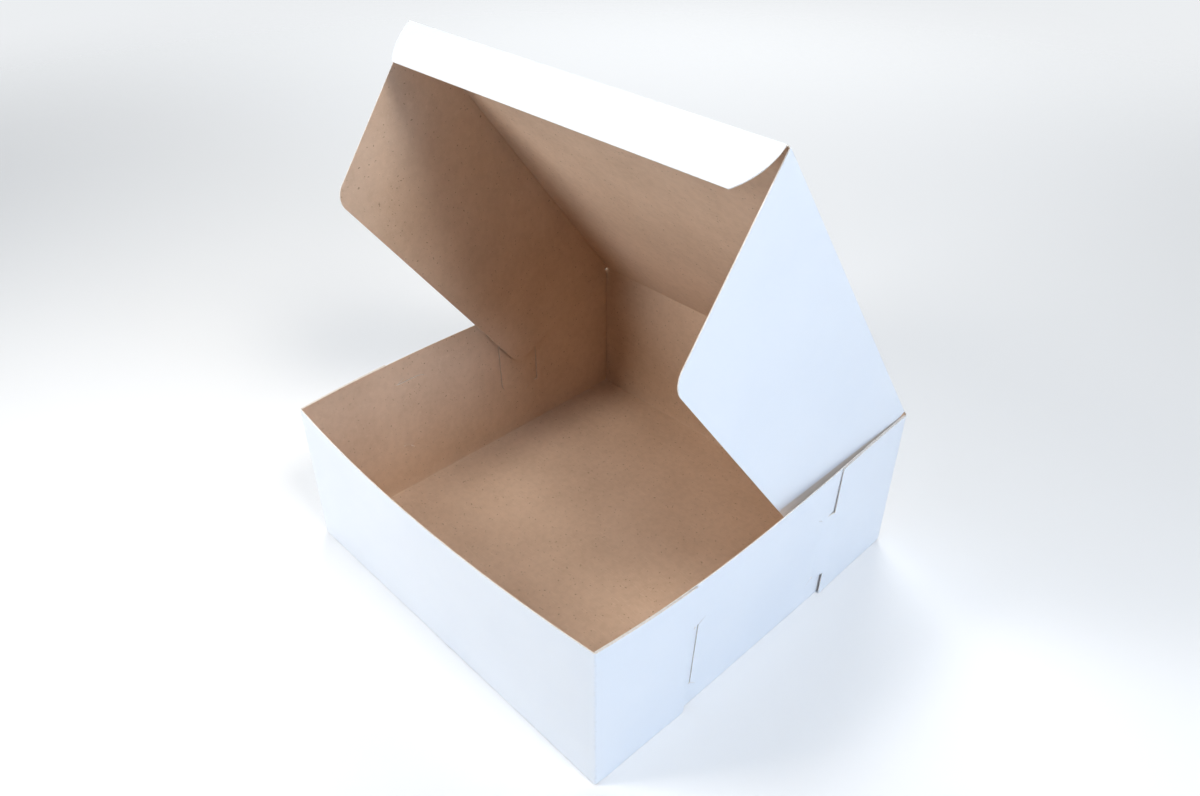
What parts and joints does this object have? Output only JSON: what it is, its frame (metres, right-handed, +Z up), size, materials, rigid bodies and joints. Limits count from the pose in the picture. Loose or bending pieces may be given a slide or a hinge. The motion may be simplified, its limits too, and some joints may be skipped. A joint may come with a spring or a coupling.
{
  "type": "bakery box",
  "caption": "Square one-piece paperboard bakery box with locked tab corners, a hinged tuck lid with side flaps and a front tuck flap, white outside and kraft inside.",
  "frame": {"origin": "centre of the tray's floor, on the surface the box stands on", "axes": "+Z up, +X to the right of someone facing the front wall, -Y towards the front wall, +Y towards the lid's hinge"},
  "size_m": [0.2655, 0.261, 0.3037],
  "materials": {
    "white_board": "clay-coated white outer face, bare kraft inner face and cut edges, matte"
  },
  "bodies": {
    "tray": {"tray": "white_board"},
    "lid": {"lid_panel": "white_board"},
    "left_flap": {"left_side_flap": "white_board"},
    "right_flap": {"right_side_flap": "white_board"},
    "tuck_flap": {"front_tuck_flap": "white_board"}
  },
  "joints": [
    {"name": "lid_hinge", "type": "hinge", "parent": "tray", "child": "lid", "pos_m": [0, 0.1267, 0.1016], "axis": [-1, 0, 0], "range_deg": [-53.6, 126.4]},
    {"name": "left_flap_fold", "type": "hinge", "parent": "lid", "child": "left_flap", "pos_m": [-0.1246, 0.05207, 0.20231], "axis": [0, -0.5934, 0.8049], "range_deg": [0, 85]},
    {"name": "right_flap_fold", "type": "hinge", "parent": "lid", "child": "right_flap", "pos_m": [0.1246, 0.05207, 0.20231], "axis": [0, 0.5934, -0.8049], "range_deg": [0, 85]},
    {"name": "tuck_flap_fold", "type": "hinge", "parent": "lid", "child": "tuck_flap", "pos_m": [0, -0.02207, 0.30339], "axis": [1, 0, 0], "range_deg": [-90, 10]}
  ]
}
